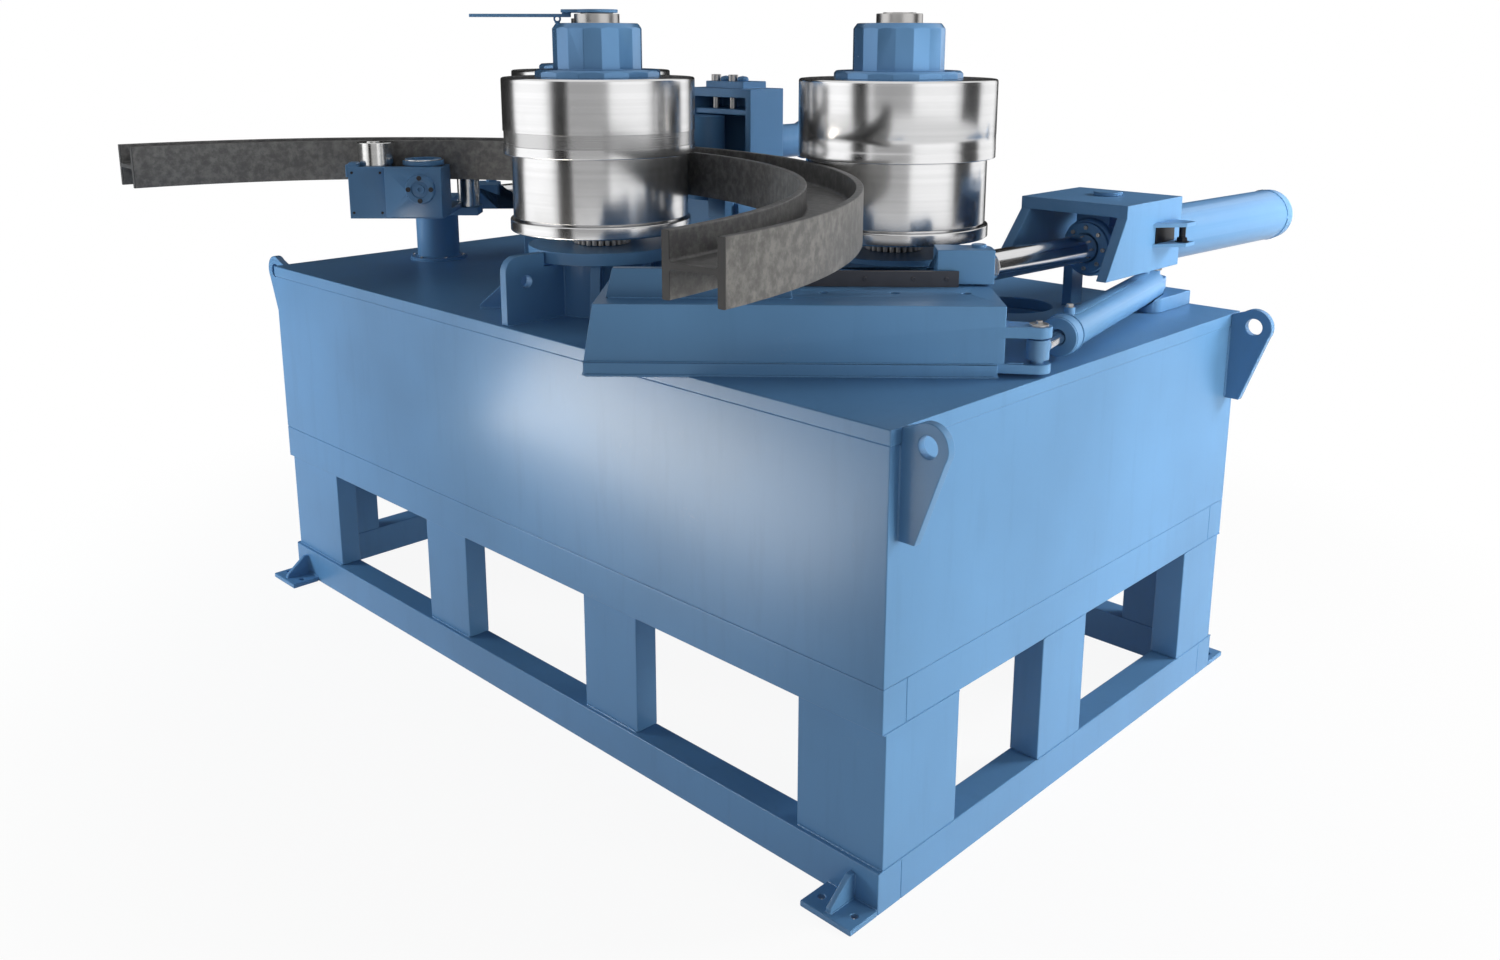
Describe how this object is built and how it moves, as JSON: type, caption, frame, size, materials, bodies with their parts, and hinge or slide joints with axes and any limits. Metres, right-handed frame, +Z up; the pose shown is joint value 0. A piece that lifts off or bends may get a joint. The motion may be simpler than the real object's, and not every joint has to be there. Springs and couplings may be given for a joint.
{
  "type": "profile bending machine",
  "caption": "Heavy section bending machine with vertical rolls on a box table and welded stand, side roll slides with hydraulic cylinders, and a bent H-beam gripped in it.",
  "frame": {"origin": "on the floor at the centre of the stand and of its anchor bolt pattern", "axes": "+X along the long sides, -Y out of the front long side, +Z up along the roll axes"},
  "size_m": [3.92, 3.6747, 2.63],
  "materials": {
    "machine_paint": "semi-gloss",
    "stand_paint": "semi-gloss",
    "roll_steel": "ground",
    "spindle_steel": "turned",
    "chromed_rod": "polished",
    "guide_steel": "ground",
    "way_steel": "oiled",
    "beam_scale": "mill scale"
  },
  "bodies": {
    "stand": {"long_rails": "stand_paint", "end_rails": "stand_paint", "corner_posts": "stand_paint", "long_posts": "stand_paint", "end_posts": "stand_paint", "long_headers": "stand_paint", "end_headers": "stand_paint", "housing": "machine_paint", "table_plate": "machine_paint", "lifting_lugs": "machine_paint", "anchor_feet": "stand_paint", "central_base": "machine_paint", "slide_bed": "machine_paint", "slide_block": "machine_paint", "slide_strip": "way_steel", "slide_base_2": "machine_paint", "slide_base_3": "machine_paint", "yoke_2": "machine_paint", "yoke_3": "machine_paint", "swing_anchor": "machine_paint", "swing_barrel": "machine_paint", "swing_rod": "chromed_rod", "guide_column": "machine_paint", "guide_head": "machine_paint", "rear_tower": "machine_paint", "rear_screws": "spindle_steel", "rear_cylinder": "machine_paint", "h_beam": "beam_scale"},
    "roll_1": {"roll_1_die": "roll_steel", "roll_1_ring": "roll_steel", "roll_1_hub": "machine_paint", "roll_1_spindle": "spindle_steel", "lock_lever": "machine_paint"},
    "carriage_2": {"carriage_2": "machine_paint"},
    "roll_2": {"roll_2_die": "roll_steel", "roll_2_ring": "roll_steel", "roll_2_hub": "machine_paint", "roll_2_spindle": "spindle_steel"},
    "carriage_3": {"carriage_3": "machine_paint"},
    "roll_3": {"roll_3_die": "roll_steel", "roll_3_ring": "roll_steel", "roll_3_hub": "machine_paint", "roll_3_spindle": "spindle_steel"},
    "barrel_2": {"barrel_2": "machine_paint"},
    "rod_2": {"rod_2": "chromed_rod"},
    "barrel_3": {"barrel_3": "machine_paint"},
    "rod_3": {"rod_3": "chromed_rod"},
    "guide_roller_inner": {"guide_roller_inner": "guide_steel"},
    "guide_roller_outer": {"guide_roller_outer": "guide_steel"},
    "rear_roller": {"rear_roller": "machine_paint"}
  },
  "joints": [
    {"name": "roll_1_spin", "type": "hinge", "parent": "stand", "child": "roll_1", "pos_m": [0, -0.604, 2], "axis": [0, 0, 1], "continuous": true},
    {"name": "carriage_2_slide", "type": "slide", "parent": "stand", "child": "carriage_2", "axis": [0.7314, 0.682, 0], "range_m": [0, 0.05]},
    {"name": "roll_2_spin", "type": "hinge", "parent": "carriage_2", "child": "roll_2", "pos_m": [0.89078, 0.07408, 2], "axis": [0, 0, 1], "continuous": true},
    {"name": "barrel_2_swivel", "type": "hinge", "parent": "stand", "child": "barrel_2", "pos_m": [1.463, 0.62, 1.775], "axis": [0, 0, 1], "range_deg": [0, 2.9]},
    {"name": "rod_2_slide", "type": "slide", "parent": "barrel_2", "child": "rod_2", "axis": [0.061, 0.9981, 0], "range_m": [0, 0.0375]},
    {"name": "carriage_3_slide", "type": "slide", "parent": "stand", "child": "carriage_3", "axis": [-0.7314, 0.682, 0], "range_m": [0, 0.05]},
    {"name": "roll_3_spin", "type": "hinge", "parent": "carriage_3", "child": "roll_3", "pos_m": [-0.89078, 0.07408, 2], "axis": [0, 0, 1], "continuous": true},
    {"name": "barrel_3_swivel", "type": "hinge", "parent": "stand", "child": "barrel_3", "pos_m": [-1.463, 0.62, 1.775], "axis": [0, 0, 1], "range_deg": [-2.9, 0]},
    {"name": "rod_3_slide", "type": "slide", "parent": "barrel_3", "child": "rod_3", "axis": [-0.061, 0.9981, 0], "range_m": [0, 0.0375]},
    {"name": "guide_inner_spin", "type": "hinge", "parent": "stand", "child": "guide_roller_inner", "pos_m": [-1.16829, -0.88573, 1.9], "axis": [0, 0, 1], "continuous": true},
    {"name": "guide_outer_spin", "type": "hinge", "parent": "stand", "child": "guide_roller_outer", "pos_m": [-1.17326, -0.42986, 1.9], "axis": [0, 0, 1], "continuous": true},
    {"name": "press_roll_spin", "type": "hinge", "parent": "stand", "child": "rear_roller", "pos_m": [-0.06299, 0.01295, 2], "axis": [0, 0, 1], "continuous": true}
  ],
  "couplings": [
    {"joint": "barrel_2_swivel", "follows": "carriage_2_slide", "rad_per_m": 0.9504},
    {"joint": "rod_2_slide", "follows": "carriage_2_slide", "ratio": 0.70902},
    {"joint": "barrel_3_swivel", "follows": "carriage_3_slide", "rad_per_m": -0.9504},
    {"joint": "rod_3_slide", "follows": "carriage_3_slide", "ratio": 0.70902}
  ]
}
